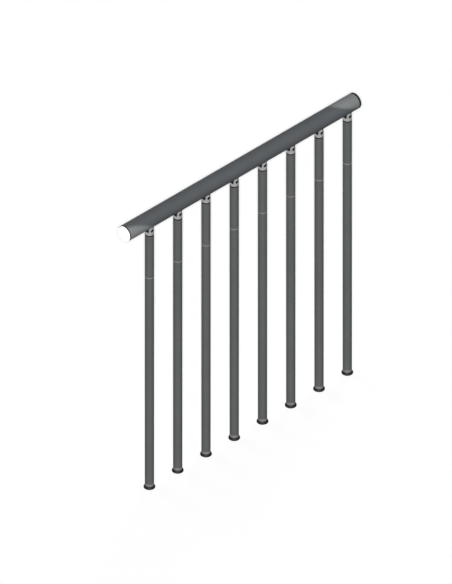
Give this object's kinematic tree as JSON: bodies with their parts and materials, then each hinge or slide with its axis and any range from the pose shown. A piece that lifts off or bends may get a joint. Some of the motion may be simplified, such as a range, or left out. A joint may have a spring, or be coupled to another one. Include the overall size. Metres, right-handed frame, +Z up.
{
  "type": "stair landing balustrade panel",
  "caption": "Level stair-landing balustrade: round tube handrail with one end cap, carried on slim round balusters by forked knuckles, with stud holes and flared cover rings at the feet.",
  "frame": {"origin": "centre of the underside of the first baluster's foot, on the floor", "axes": "+X along the handrail from its open joint end to its capped end, +Z up, -Y the front where the screw heads show"},
  "size_m": [0.983, 0.052, 1.01],
  "materials": {
    "rail_paint": "satin powder coat",
    "tube_paint": "satin powder coat",
    "lug_black": "black lacquer",
    "fork_alloy": "satin cast and machined",
    "foot_alloy": "satin turned, darker than the forks",
    "screw_black": "black oxide",
    "black_plastic": "satin moulded"
  },
  "bodies": {
    "root": {"handrail": "rail_paint", "handrail_lugs": "lug_black", "handrail_end_cap": "black_plastic", "tube_collars": "black_plastic", "baluster_foot_1": "foot_alloy", "foot_rosette_1": "black_plastic", "baluster_tube_1": "tube_paint", "baluster_fork_1": "fork_alloy", "pivot_screw_1": "screw_black", "baluster_foot_2": "foot_alloy", "foot_rosette_2": "black_plastic", "baluster_tube_2": "tube_paint", "baluster_fork_2": "fork_alloy", "pivot_screw_2": "screw_black", "baluster_foot_3": "foot_alloy", "foot_rosette_3": "black_plastic", "baluster_tube_3": "tube_paint", "baluster_fork_3": "fork_alloy", "pivot_screw_3": "screw_black", "baluster_foot_4": "foot_alloy", "foot_rosette_4": "black_plastic", "baluster_tube_4": "tube_paint", "baluster_fork_4": "fork_alloy", "pivot_screw_4": "screw_black", "baluster_foot_5": "foot_alloy", "foot_rosette_5": "black_plastic", "baluster_tube_5": "tube_paint", "baluster_fork_5": "fork_alloy", "pivot_screw_5": "screw_black", "baluster_foot_6": "foot_alloy", "foot_rosette_6": "black_plastic", "baluster_tube_6": "tube_paint", "baluster_fork_6": "fork_alloy", "pivot_screw_6": "screw_black", "baluster_foot_7": "foot_alloy", "foot_rosette_7": "black_plastic", "baluster_tube_7": "tube_paint", "baluster_fork_7": "fork_alloy", "pivot_screw_7": "screw_black", "baluster_foot_8": "foot_alloy", "foot_rosette_8": "black_plastic", "baluster_tube_8": "tube_paint", "baluster_fork_8": "fork_alloy", "pivot_screw_8": "screw_black"}
  },
  "joints": []
}
